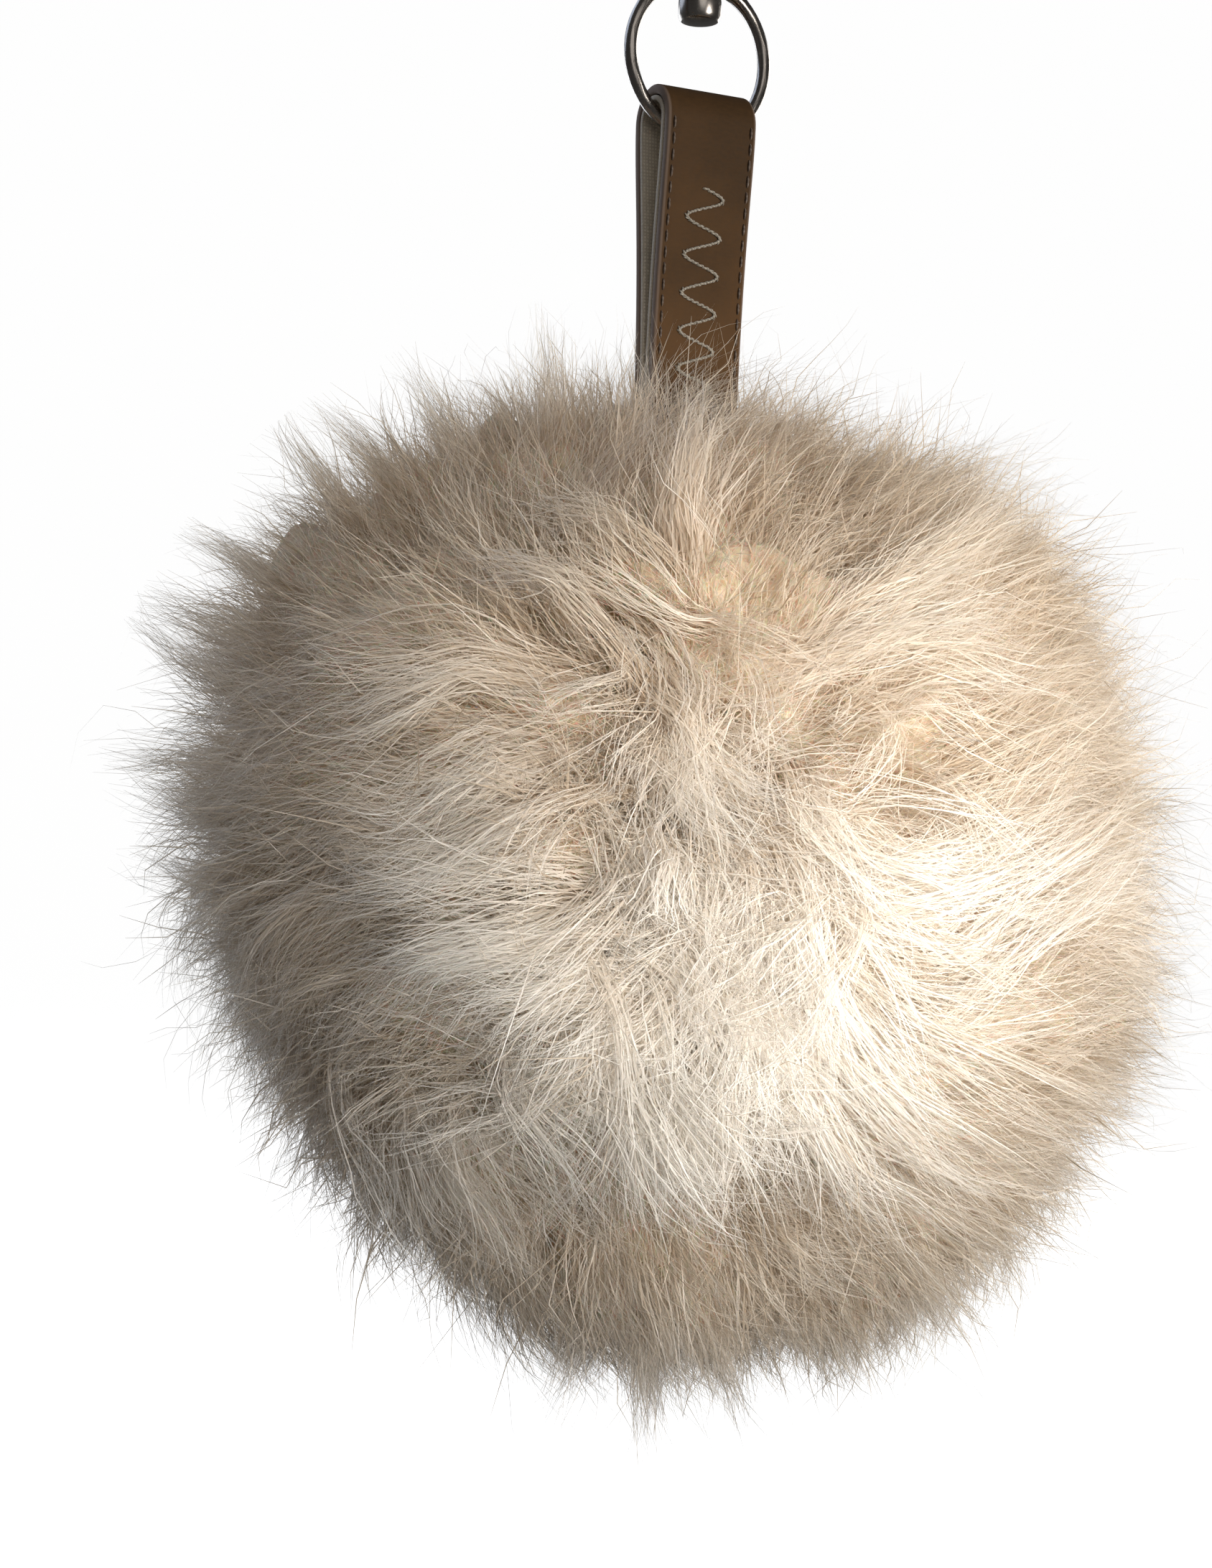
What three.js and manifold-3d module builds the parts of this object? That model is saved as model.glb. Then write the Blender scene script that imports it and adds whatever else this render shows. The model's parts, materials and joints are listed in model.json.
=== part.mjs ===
// Plush keychain: a snap hook with a swivelling ring, a folded strap and a fur ball.
// Millimetres, +Z up. X runs along the strap's width and -Y is the front.
// The origin is the top of the space inside the hook's crown, where the object hangs.
import * as THREE from "three";
import { mergeVertices } from "three/addons/utils/BufferGeometryUtils.js";
import Module from "manifold-3d";

const wasm = await Module();
wasm.setup();

// ---- Driving dimensions ----
const gap = 0.3; // between pieces that touch on the real object
const hook = {
  mouthHalfWidth: 5.4, // the oval space inside the hook
  mouthHalfHeight: 7.0,
  barWidth: 3.5,
  crownHeight: 3.6,
  thickness: 5.2,
  neckRadius: 3.8,
  neckBottom: -26.7,
};
const gate = {
  pivotX: 4.8,
  pivotZ: -16.2,
  lugRadius: 3.0,
  reach: 11.0, // from the pivot to the tip
  thickness: 4.6,
  tongueRadius: 2.7,
  slotRadius: 3.3,
  slotWidth: 2.8,
  pinRadius: 0.8,
};
const ring = {
  centreZ: -40,
  radius: 10.4,
  wireRadius: 0.87,
  flare: 0.85,
  bossRadius: 3.4,
  bossHeight: 4.4,
};
const post = { radius: 1.45, headRadius: 2.9, headHeight: 3.5, top: -21.8 };
const strap = {
  width: 13.6,
  foldZ: -49.2, // centre of the round cavity that holds the ring's wire
  foldRadius: 4.7,
  tuckedHalf: 2.3, // half the strap's depth where its legs are sewn together
  taper: 9,
  faceThickness: 1.3,
  liningThickness: 0.75,
  slitLength: 37,
  bottomZ: -121,
};
const ball = { centreZ: -152, radius: 68, bulge: 2, dimple: 18, dimpleAngle: 0.3 };
const core = { peltRadius: 38, peltThickness: 1.4, neckHalf: 3.6, buttonRadius: 9, buttonThickness: 2.4 };
const neckZ = -119; // the fur ball sways about this height
const swayAngle = THREE.MathUtils.degToRad(20);

// ---- Values that follow ----
const peltTop = ball.centreZ + core.peltRadius;
const mouthZ = -hook.mouthHalfHeight;
const ringTop = ring.centreZ + ring.radius;
const bossBottom = ringTop - ring.bossHeight / 2;
const headTop = bossBottom - gap;
const headBottom = headTop - post.headHeight;
const buttonTop = strap.bottomZ - 3;

// ---- Helpers ----
function solidOf(geometry) {
  const bare = geometry.clone();
  bare.deleteAttribute("normal");
  bare.deleteAttribute("uv");
  const merged = mergeVertices(bare, 1e-4);
  const vertProperties = new Float32Array(merged.attributes.position.array);
  const triVerts = new Uint32Array(merged.index.array);
  return new wasm.Manifold(new wasm.Mesh({ numProp: 3, vertProperties, triVerts }));
}

function geometryOf(solid) {
  const made = solid.getMesh();
  const geometry = new THREE.BufferGeometry();
  geometry.setAttribute("position", new THREE.BufferAttribute(new Float32Array(made.vertProperties), 3));
  geometry.setIndex(new THREE.BufferAttribute(new Uint32Array(made.triVerts), 1));
  geometry.computeVertexNormals();
  return geometry;
}

// An outline drawn in X and Z, given a thickness along Y.
function plate(shape, thickness, bevel = 0, yCentre = 0) {
  const options = { depth: thickness - 2 * bevel, curveSegments: 20, bevelEnabled: bevel > 0 };
  options.bevelThickness = bevel;
  options.bevelSize = bevel;
  options.bevelOffset = -bevel;
  options.bevelSegments = 2;
  const geometry = new THREE.ExtrudeGeometry(shape, options);
  geometry.translate(0, 0, bevel - thickness / 2);
  geometry.rotateX(Math.PI / 2);
  geometry.translate(0, yCentre, 0);
  return geometry;
}

// An outline drawn in Y and Z, given a width along X.
function prism(shape, width) {
  const geometry = new THREE.ExtrudeGeometry(shape, { depth: width, bevelEnabled: false });
  geometry.translate(0, 0, -width / 2);
  const axes = new THREE.Matrix4().makeBasis(
    new THREE.Vector3(0, 1, 0),
    new THREE.Vector3(0, 0, 1),
    new THREE.Vector3(1, 0, 0),
  );
  return geometry.applyMatrix4(axes);
}

function oval(x, z, halfWidth, halfHeight) {
  return new THREE.Shape().absellipse(x, z, halfWidth, halfHeight, 0, Math.PI * 2, false, 0);
}

function polygon(points) {
  return new THREE.Shape(points.map(([x, z]) => new THREE.Vector2(x, z)));
}

// A cylinder along Y, as the gate's hinge uses them.
function crossCylinder(x, z, radius, length, yCentre = 0, sides = 24) {
  const geometry = new THREE.CylinderGeometry(radius, radius, length, sides);
  return geometry.translate(x, yCentre, z);
}

// A cylinder along Z.
function upright(radius, bottom, top, sides = 28) {
  const geometry = new THREE.CylinderGeometry(radius, radius, top - bottom, sides);
  geometry.rotateX(Math.PI / 2);
  return geometry.translate(0, 0, (top + bottom) / 2);
}

// A profile of radius and height turned about Z.
function turned(profile, sides = 28) {
  const points = profile.map(([r, z]) => new THREE.Vector2(r, z));
  return new THREE.LatheGeometry(points, sides).rotateX(Math.PI / 2);
}

function thread(points, radius, steps, closed = false) {
  const path = new THREE.CatmullRomCurve3(points, closed, "centripetal");
  const section = new THREE.Shape().absarc(0, 0, radius, 0, Math.PI * 2, false);
  const options = { steps, curveSegments: 3, bevelEnabled: false, extrudePath: path };
  return new THREE.ExtrudeGeometry(section, options);
}

// ---- Materials ----
const metal = { color: 0x4a4640, metalness: 1, roughness: 0.22 };
const materials = {
  gunmetal: new THREE.MeshStandardMaterial(metal),
  springSteel: new THREE.MeshStandardMaterial({ color: 0x8c8c8c, metalness: 1, roughness: 0.3 }),
  satinFace: new THREE.MeshStandardMaterial({ color: 0x6b4c30, metalness: 0, roughness: 0.5 }),
  lining: new THREE.MeshStandardMaterial({ color: 0x7a6f60, metalness: 0, roughness: 0.8 }),
  edgeThread: new THREE.MeshStandardMaterial({ color: 0x8c766a, metalness: 0, roughness: 0.7 }),
  motifThread: new THREE.MeshStandardMaterial({ color: 0xbfb4a2, metalness: 0, roughness: 0.6 }),
  hide: new THREE.MeshStandardMaterial({ color: 0xcdb58f, metalness: 0, roughness: 0.8 }),
  plastic: new THREE.MeshStandardMaterial({ color: 0xd8d2c4, metalness: 0, roughness: 0.4 }),
  wadding: new THREE.MeshStandardMaterial({ color: 0xf0ece4, metalness: 0, roughness: 0.95 }),
  fur: new THREE.MeshStandardMaterial({ color: 0xe6d5b8, metalness: 0, roughness: 0.95 }),
};

const keychain = new THREE.Group();

function addPiece(name, shape, material) {
  const geometry = shape.isBufferGeometry ? shape : geometryOf(shape);
  const mesh = new THREE.Mesh(geometry, material);
  mesh.name = name;
  keychain.add(mesh);
}

// ---- Snap hook ----
function hookBar(thickness, bevel) {
  const outer = oval(
    0,
    mouthZ - gap / 2,
    hook.mouthHalfWidth + hook.barWidth,
    hook.mouthHalfHeight + hook.crownHeight + gap / 2,
  );
  const inner = oval(0, mouthZ, hook.mouthHalfWidth, hook.mouthHalfHeight);
  return solidOf(plate(outer, thickness, bevel)).subtract(solidOf(plate(inner, thickness + 2)));
}

function hookBody() {
  const floorZ = mouthZ - hook.mouthHalfHeight - 0.2;
  const shoulders = polygon([
    [-3.3, -23.8],
    [3.3, -23.8],
    [6.0, -18.8],
    [6.4, floorZ],
    [-6.7, floorZ],
    [-5.7, -18.6],
  ]);
  const neck = turned([
    [0, hook.neckBottom],
    [hook.neckRadius - 0.4, hook.neckBottom],
    [hook.neckRadius, hook.neckBottom + 0.4],
    [hook.neckRadius, hook.neckBottom + 1.8],
    [3.2, -23.6],
    [2.4, -20],
    [0, -20],
  ]);
  const reach = gate.reach + gap;
  const gateRoom = solidOf(crossCylinder(gate.pivotX, gate.pivotZ, reach, hook.thickness + 2, 0, 64));
  const rightOfMouth = polygon([
    [1.5, floorZ],
    [20, floorZ],
    [20, 0],
    [1.5, 0],
  ]);
  const cutOut = gateRoom.intersect(solidOf(plate(rightOfMouth, hook.thickness + 2)));
  const slot = crossCylinder(gate.pivotX, gate.pivotZ, gate.slotRadius, gate.slotWidth);
  const pinHole = crossCylinder(gate.pivotX, gate.pivotZ, gate.pinRadius + 0.15, hook.thickness + 2);
  return hookBar(hook.thickness, 0.8)
    .add(solidOf(plate(shoulders, hook.thickness, 0.6)))
    .subtract(cutOut)
    .add(solidOf(crossCylinder(gate.pivotX, gate.pivotZ, gate.lugRadius, hook.thickness)))
    .add(solidOf(neck))
    .subtract(solidOf(slot))
    .subtract(solidOf(pinHole))
    .subtract(solidOf(upright(post.radius + gap, hook.neckBottom - 1, post.top + gap)));
}

function hookGate() {
  const tongueThickness = 1.4;
  const tongueY = -0.4;
  const sweep = solidOf(crossCylinder(gate.pivotX, gate.pivotZ, gate.reach, gate.thickness + 2, 0, 64));
  const upperPart = polygon([
    [2.5, -12.4],
    [20, -12.4],
    [20, 0],
    [2.5, 0],
  ]);
  const lever = hookBar(gate.thickness, 0.7)
    .intersect(sweep)
    .intersect(solidOf(plate(upperPart, gate.thickness + 2)));
  const stem = polygon([
    [gate.pivotX - 1.4, gate.pivotZ],
    [gate.pivotX + 2.2, gate.pivotZ],
    [7.4, -11.4],
    [4.6, -11.4],
  ]);
  const thumbPiece = oval(9.4, -10.6, 1.5, 2.3);
  return lever
    .add(solidOf(plate(thumbPiece, gate.thickness - 0.6, 0.5)))
    .add(solidOf(plate(stem, tongueThickness, 0, tongueY)))
    .add(solidOf(crossCylinder(gate.pivotX, gate.pivotZ, gate.tongueRadius, tongueThickness, tongueY)))
    .subtract(solidOf(crossCylinder(gate.pivotX, gate.pivotZ, gate.pinRadius + 0.15, hook.thickness)));
}

// The torsion coil beside the gate's tongue, with a leg to the floor and a leg to the gate.
function gateSpring() {
  const width = 0.7;
  const coilY = 0.85;
  const coil = solidOf(crossCylinder(gate.pivotX, gate.pivotZ, 1.6, width, coilY));
  const hole = solidOf(crossCylinder(gate.pivotX, gate.pivotZ, gate.pinRadius + 0.25, width + 1, coilY));
  const floorLeg = new THREE.BoxGeometry(1.9, width, 0.4).translate(gate.pivotX - 1.95, coilY, gate.pivotZ - 1.2);
  const gateLeg = new THREE.BoxGeometry(0.4, width, 1.9).translate(gate.pivotX - 1.2, coilY, gate.pivotZ + 1.85);
  return coil.add(solidOf(floorLeg)).add(solidOf(gateLeg)).subtract(hole);
}

// ---- Swivel ----
function swivelPost() {
  const corner = 0.8;
  return turned([
    [0, headBottom],
    [post.headRadius - 2 * corner, headBottom],
    [post.headRadius - 0.35 * corner, headBottom + 0.45 * corner],
    [post.headRadius, headBottom + 1.3 * corner],
    [post.headRadius, headTop - 0.3],
    [post.headRadius - 0.3, headTop],
    [post.radius, headTop],
    [post.radius, post.top],
    [0, post.top],
  ]);
}

// A round wire that swells towards the boss at the top, where the post runs through.
function swivelRing() {
  const wire = new THREE.TorusGeometry(ring.radius, ring.wireRadius, 10, 56);
  const place = wire.attributes.position;
  const point = new THREE.Vector3();
  for (let i = 0; i < place.count; i += 1) {
    point.fromBufferAttribute(place, i);
    const angleFromTop = Math.abs(Math.atan2(point.x, point.y));
    const swell = 1 + ring.flare * Math.exp(-((angleFromTop / 0.42) ** 2));
    const middle = new THREE.Vector3(point.x, point.y, 0).setLength(ring.radius);
    point.sub(middle).multiplyScalar(swell).add(middle);
    place.setXYZ(i, point.x, point.y, point.z);
  }
  wire.rotateX(Math.PI / 2).translate(0, 0, ring.centreZ);
  const half = ring.bossHeight / 2;
  const boss = turned([
    [0, ringTop - half],
    [ring.bossRadius - 0.6, ringTop - half],
    [ring.bossRadius, ringTop - half + 0.9],
    [ring.bossRadius, ringTop + half - 0.9],
    [ring.bossRadius - 0.6, ringTop + half],
    [0, ringTop + half],
  ]);
  const bore = upright(post.radius + gap, ringTop - half - 2, ringTop + half + 2);
  return solidOf(wire).add(solidOf(boss)).subtract(solidOf(bore));
}

// ---- Strap ----
// Half the strap's depth at a distance below the middle of the fold.
function strapHalf(below) {
  const share = (1 + below / strap.taper) * Math.exp(-below / strap.taper);
  return strap.tuckedHalf + (strap.foldRadius - strap.tuckedHalf) * share;
}

// One side of the loop, from a low end, over the fold and down to the other low end.
function loopPoints(inset, length, steps = 14, arcSteps = 16) {
  const points = [];
  for (let i = 0; i <= steps; i += 1) {
    const below = length * (1 - i / steps) ** 1.4;
    points.push([inset - strapHalf(below), strap.foldZ - below]);
  }
  const radius = strap.foldRadius - inset;
  for (let i = 1; i < arcSteps; i += 1) {
    const angle = Math.PI * (1 - i / arcSteps);
    points.push([radius * Math.cos(angle), strap.foldZ + radius * Math.sin(angle)]);
  }
  const leftSide = points.slice(0, steps + 1);
  return points.concat(leftSide.reverse().map(([y, z]) => [-y, z]));
}

function strapBand() {
  const length = strap.foldZ - strap.bottomZ;
  const outside = loopPoints(0, length);
  const inside = loopPoints(strap.faceThickness, length).reverse();
  return prism(polygon(outside.concat(inside)), strap.width);
}

function strapLining() {
  const outerInset = strap.faceThickness + 0.15;
  const innerInset = outerInset + strap.liningThickness;
  const length = strap.foldZ - strap.bottomZ - 1;
  const body = solidOf(prism(polygon(loopPoints(outerInset, length)), strap.width));
  const cavity = solidOf(prism(polygon(loopPoints(innerInset, strap.slitLength)), strap.width + 2));
  return body.subtract(cavity);
}

function edgeStitch(side) {
  const standOff = -0.4;
  const x = side * (strap.width / 2 - 0.9);
  const route = loopPoints(standOff, 50, 14, 10).map(([y, z]) => new THREE.Vector3(x, y, z));
  return thread(route, 0.22, 44);
}

// A plain wavy line of thread on the front face.
function motifThread() {
  const length = 30;
  const waves = 6;
  const points = [];
  for (let i = 0; i <= waves * 6; i += 1) {
    const share = i / (waves * 6);
    const below = 9 + length * share;
    const swing = 2.6 * (1 - 0.35 * share);
    const x = swing * Math.sin(share * waves * Math.PI * 2) - 0.4;
    points.push(new THREE.Vector3(x, -(strapHalf(below) + 0.4), strap.foldZ - below));
  }
  return thread(points, 0.22, waves * 12);
}

// ---- Fur ball ----
// The slot in which the strap's end sways, seen along X.
function neckRoom(margin) {
  const top = ball.centreZ + ball.radius + 10;
  const half = core.neckHalf + margin;
  const spread = half + (top - neckZ) * Math.tan(swayAngle);
  const outline = polygon([
    [-half, buttonTop],
    [half, buttonTop],
    [half, neckZ],
    [spread, top],
    [-spread, top],
    [-half, neckZ],
  ]);
  return solidOf(prism(outline, strap.width + 2 * (0.8 + margin)));
}

function sphere(radius, across = 24, down = 16) {
  const geometry = new THREE.SphereGeometry(radius, across, down);
  return geometry.rotateX(Math.PI / 2).translate(0, 0, ball.centreZ);
}

// A round, slightly lumpy pile with a dimple where the strap goes in.
function furPile() {
  const geometry = new THREE.SphereGeometry(1, 36, 24).rotateX(Math.PI / 2);
  const place = geometry.attributes.position;
  const point = new THREE.Vector3();
  for (let i = 0; i < place.count; i += 1) {
    point.fromBufferAttribute(place, i).normalize();
    const fromTop = Math.acos(Math.min(1, Math.max(-1, point.z)));
    const dimple = ball.dimple * Math.exp(-((fromTop / ball.dimpleAngle) ** 2));
    const lumps = 0.9 * Math.sin(3.1 * point.x + 4 * point.z) * Math.cos(3.7 * point.y - 2 * point.x);
    const flat = 1 - point.z * point.z;
    point.multiplyScalar(ball.radius + ball.bulge * flat - dimple + lumps * flat);
    place.setXYZ(i, point.x, point.y, point.z + ball.centreZ);
  }
  const threadRoom = upright(11, peltTop - 3, peltTop + 3.2);
  return solidOf(geometry)
    .subtract(solidOf(sphere(core.peltRadius + gap)))
    .subtract(solidOf(threadRoom))
    .subtract(neckRoom(0));
}

function pelt() {
  const skin = solidOf(sphere(core.peltRadius)).subtract(solidOf(sphere(core.peltRadius - core.peltThickness)));
  return skin.subtract(neckRoom(0.4));
}

function stuffing() {
  const radius = core.peltRadius - core.peltThickness - gap;
  const keep = upright(radius + 1, ball.centreZ - radius - 1, buttonTop - core.buttonThickness - gap);
  return solidOf(sphere(radius)).intersect(solidOf(keep));
}

function gatherThread() {
  const points = [];
  for (let i = 0; i < 24; i += 1) {
    const angle = (i / 24) * Math.PI * 2;
    points.push(new THREE.Vector3(9.9 * Math.cos(angle), 8.6 * Math.sin(angle), peltTop + 1.0));
  }
  return thread(points, 0.7, 32, true);
}

function anchorButton() {
  const bottom = buttonTop - core.buttonThickness;
  const disc = turned([
    [0, bottom],
    [core.buttonRadius - 0.6, bottom],
    [core.buttonRadius, bottom + 0.6],
    [core.buttonRadius, buttonTop - 0.6],
    [core.buttonRadius - 0.6, buttonTop],
    [0, buttonTop],
  ]);
  let button = solidOf(disc);
  for (const x of [-1.8, 1.8]) {
    button = button.subtract(solidOf(upright(0.8, bottom - 1, buttonTop + 1, 16).translate(x, 0, 0)));
  }
  return button;
}

// ---- The object ----
addPiece("hook_body", hookBody(), materials.gunmetal);
addPiece("hook_gate", hookGate(), materials.gunmetal);
const pin = crossCylinder(gate.pivotX, gate.pivotZ, gate.pinRadius, hook.thickness - 0.2);
addPiece("gate_pin", pin, materials.gunmetal);
addPiece("gate_spring", gateSpring(), materials.springSteel);
addPiece("swivel_post", swivelPost(), materials.gunmetal);
addPiece("swivel_ring", swivelRing(), materials.gunmetal);
addPiece("strap_band", strapBand(), materials.satinFace);
addPiece("strap_lining", strapLining(), materials.lining);
addPiece("edge_stitch_left", edgeStitch(-1), materials.edgeThread);
addPiece("edge_stitch_right", edgeStitch(1), materials.edgeThread);
addPiece("motif_thread", motifThread(), materials.motifThread);
addPiece("gather_thread", gatherThread(), materials.edgeThread);
addPiece("anchor_button", anchorButton(), materials.plastic);
const tie = upright(1.1, buttonTop + gap, strap.bottomZ - 0.95, 12);
addPiece("anchor_tie", tie, materials.edgeThread);
addPiece("pelt", pelt(), materials.hide);
addPiece("stuffing", stuffing(), materials.wadding);
addPiece("fur", furPile(), materials.fur);

export default keychain;
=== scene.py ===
# %% [markdown]
# A keychain with a big ball of long cream fur. A snap hook hangs from the hand, a swivel ring
# hangs from the hook, a folded strap hangs from the ring, and the fur ball hangs from the strap.
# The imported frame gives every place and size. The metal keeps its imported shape, with softened
# edges. The strap and the fur are made here, because their look is in their fibres.

# %% Load the frame
import json
import math

import bpy
import numpy as np
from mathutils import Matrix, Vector


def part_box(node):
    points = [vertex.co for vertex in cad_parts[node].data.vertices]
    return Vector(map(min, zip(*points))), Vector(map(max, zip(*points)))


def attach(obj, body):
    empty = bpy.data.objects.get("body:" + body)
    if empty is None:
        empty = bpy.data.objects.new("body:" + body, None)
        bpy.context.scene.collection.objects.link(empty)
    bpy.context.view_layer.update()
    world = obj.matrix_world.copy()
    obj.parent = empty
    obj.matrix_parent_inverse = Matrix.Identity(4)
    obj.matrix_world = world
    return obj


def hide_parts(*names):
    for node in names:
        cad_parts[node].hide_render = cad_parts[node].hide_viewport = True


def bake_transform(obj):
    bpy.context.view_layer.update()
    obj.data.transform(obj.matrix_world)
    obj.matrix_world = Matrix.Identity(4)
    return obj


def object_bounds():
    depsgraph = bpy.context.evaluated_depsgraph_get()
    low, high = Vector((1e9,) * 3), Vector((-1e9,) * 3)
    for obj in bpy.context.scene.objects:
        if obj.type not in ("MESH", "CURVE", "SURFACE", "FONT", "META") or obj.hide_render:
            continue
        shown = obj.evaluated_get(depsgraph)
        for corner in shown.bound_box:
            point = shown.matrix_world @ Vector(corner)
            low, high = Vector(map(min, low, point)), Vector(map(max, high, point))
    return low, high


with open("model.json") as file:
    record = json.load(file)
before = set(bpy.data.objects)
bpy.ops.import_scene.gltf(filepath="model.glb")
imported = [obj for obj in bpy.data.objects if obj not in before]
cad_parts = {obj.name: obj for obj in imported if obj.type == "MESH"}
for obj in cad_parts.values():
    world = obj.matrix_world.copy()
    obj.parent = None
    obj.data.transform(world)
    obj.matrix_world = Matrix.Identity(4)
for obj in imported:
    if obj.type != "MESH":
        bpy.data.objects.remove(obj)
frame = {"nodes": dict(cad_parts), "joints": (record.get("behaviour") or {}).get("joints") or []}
cad_low, cad_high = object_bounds()
MM = 0.001
bpy.context.scene.view_settings.view_transform = "Standard"
print("CAD box in mm:", [round(v / MM, 1) for v in (*cad_low, *cad_high)])


def add_object(name, data):
    """A new object with this data, in the scene."""
    made = bpy.data.objects.new(name, data)
    bpy.context.scene.collection.objects.link(made)
    return made


# %% [markdown]
# Every place starts from the frame. The ball's radius and height come from the fur solid's box, the
# strap's width, fold and lower end from the band's box, and the ball sways 20 degrees each way.

# %% Measure the frame
fur_low, fur_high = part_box("fur")
BALL_RADIUS = (fur_high.x - fur_low.x) / 2
CENTRE_OVER_BOTTOM = 68 * MM
BALL_CENTRE = Vector((0, 0, fur_low.z + CENTRE_OVER_BOTTOM))
band_low, band_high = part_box("strap_band")
STRAP_WIDTH = band_high.x - band_low.x
FOLD_RADIUS = 4.7 * MM
FOLD_HEIGHT = band_high.z - FOLD_RADIUS
STRAP_END = band_low.z
SWAY_PIVOT = Vector(next(j for j in frame["joints"] if j["name"] == "pompom_sway")["pos_m"])
SWAY_SLOPE = math.tan(math.radians(20))
print("ball radius", BALL_RADIUS, "centre", BALL_CENTRE, "fold", FOLD_HEIGHT, "pivot", SWAY_PIVOT)

# %% [markdown]
# The camera stands 30 cm from the ball's middle, a little above it and to the left of its front.
# It is aimed a little off the ball and rolled slightly, as a hand-held camera is.

# %% Camera
VIEW_AZIMUTH = math.radians(-29.82)
VIEW_ELEVATION = math.radians(6.36)
VIEW_DISTANCE = 0.300
PAN, TILT, ROLL = (math.radians(v) for v in (-1.76, 2.55, 2.1))
toward = Vector(
    (
        math.sin(VIEW_AZIMUTH) * math.cos(VIEW_ELEVATION),
        -math.cos(VIEW_AZIMUTH) * math.cos(VIEW_ELEVATION),
        math.sin(VIEW_ELEVATION),
    )
)
view_right = Vector((math.cos(VIEW_AZIMUTH), math.sin(VIEW_AZIMUTH), 0))
view_up = toward.cross(view_right)
ahead = -toward * math.cos(PAN) + view_right * math.sin(PAN)
across = view_right * math.cos(PAN) + toward * math.sin(PAN)
aim = ahead * math.cos(TILT) + view_up * math.sin(TILT)
top = view_up * math.cos(TILT) - ahead * math.sin(TILT)
side = across * math.cos(ROLL) + top * math.sin(ROLL)
top = top * math.cos(ROLL) - across * math.sin(ROLL)

camera_data = bpy.data.cameras.new("camera")
camera_data.sensor_fit = "HORIZONTAL"
camera_data.sensor_width = 36
camera_data.lens = 64.3
camera_data.clip_start = 0.01
camera_data.clip_end = 20
camera = add_object("camera", camera_data)
camera.location = BALL_CENTRE + toward * VIEW_DISTANCE
camera.rotation_mode = "QUATERNION"
camera.rotation_quaternion = Matrix((side, top, -aim)).transposed().to_quaternion()
bpy.context.scene.camera = camera


# %% [markdown]
# Material maths is written as ordinary expressions. A Wire is one output socket, and each
# operator on it adds one Math node. A Finish is one material, and its node method adds any node.

# %% Material helpers
class Wire:
    """An output socket that takes part in Python sums."""

    def __init__(self, finish, socket):
        self.finish = finish
        self.socket = socket

    def maths(self, operation, first, second):
        return self.finish.node("Math", {"operation": operation}, {0: first, 1: second})

    def __add__(self, other):
        return self.maths("ADD", self, other)

    def __sub__(self, other):
        return self.maths("SUBTRACT", self, other)

    def __rsub__(self, other):
        return self.maths("SUBTRACT", other, self)

    def __mul__(self, other):
        return self.maths("MULTIPLY", self, other)

    __radd__ = __add__
    __rmul__ = __mul__


class Finish:
    """One material and the nodes in it."""

    def __init__(self, name):
        self.material = bpy.data.materials.new(name)
        self.material.use_nodes = True
        self.tree = self.material.node_tree
        self.tree.nodes.clear()

    def node(self, kind, settings=None, inputs=None, output=0):
        """Adds a node, sets its settings, then its sockets, and returns one output as a Wire."""
        made = self.tree.nodes.new("ShaderNode" + kind)
        for key, value in (settings or {}).items():
            if key == "stops":
                self.set_stops(made.color_ramp, value)
            else:
                setattr(made, key, value)
        for key, value in (inputs or {}).items():
            if isinstance(value, Wire):
                self.tree.links.new(value.socket, made.inputs[key])
            else:
                made.inputs[key].default_value = value
        return Wire(self, made.outputs[output])

    @staticmethod
    def set_stops(ramp, stops):
        while len(ramp.elements) < len(stops):
            ramp.elements.new(0.5)
        for element, (place, colour) in zip(ramp.elements, stops):
            element.position = place
            element.color = (*colour, 1)

    def mix(self, factor, first, second, blend="MIX"):
        """Mixes two colours, each a Wire or three numbers."""
        first, second = (v if isinstance(v, Wire) else (*v, 1) for v in (first, second))
        settings = {"data_type": "RGBA", "blend_type": blend}
        return self.node("Mix", settings, {0: factor, 6: first, 7: second}, 2)

    def ramp(self, factor, *stops):
        return self.node("ValToRGB", {"stops": stops}, {"Fac": factor})

    def place(self):
        return self.node("TexCoord", output=3)

    def part(self, vector, axis):
        """One part of a vector: 0, 1 or 2 for x, y or z."""
        return self.node("SeparateXYZ", None, {0: vector}, axis)

    def fade(self, value, start, end):
        """From 0 to 1 while the value goes from start to end."""
        return self.node("MapRange", None, {"Value": value, "From Min": start, "From Max": end})

    def noise(self, scale, detail=2.0, roughness=0.5, vector=None, distortion=0.0):
        """Noise of this many lumps to the metre, from 0 to 1."""
        inputs = {"Vector": vector or self.place(), "Scale": scale, "Detail": detail}
        inputs.update({"Roughness": roughness, "Distortion": distortion})
        return self.node("TexNoise", None, inputs)

    def bump(self, height, depth, strength=1.0):
        """A normal from a height of 0 to 1 that stands for this many metres."""
        return self.node("Bump", None, {"Height": height, "Distance": depth, "Strength": strength})

    def shade(self, **sockets):
        """The Principled shader, with its sockets named in words, straight to the output."""
        titles = {key: key.replace("_", " ").title().replace("Ior", "IOR") for key in sockets}
        inputs = {titles[key]: value for key, value in sockets.items()}
        self.finish(self.node("BsdfPrincipled", None, inputs))

    def finish(self, shader):
        out = self.tree.nodes.new("ShaderNodeOutputMaterial")
        self.tree.links.new(shader.socket, out.inputs["Surface"])


def deselect():
    bpy.ops.object.select_all(action="DESELECT")


def choose(piece):
    """Selects one piece alone and makes it active."""
    deselect()
    bpy.context.view_layer.objects.active = piece
    piece.select_set(True)


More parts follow.
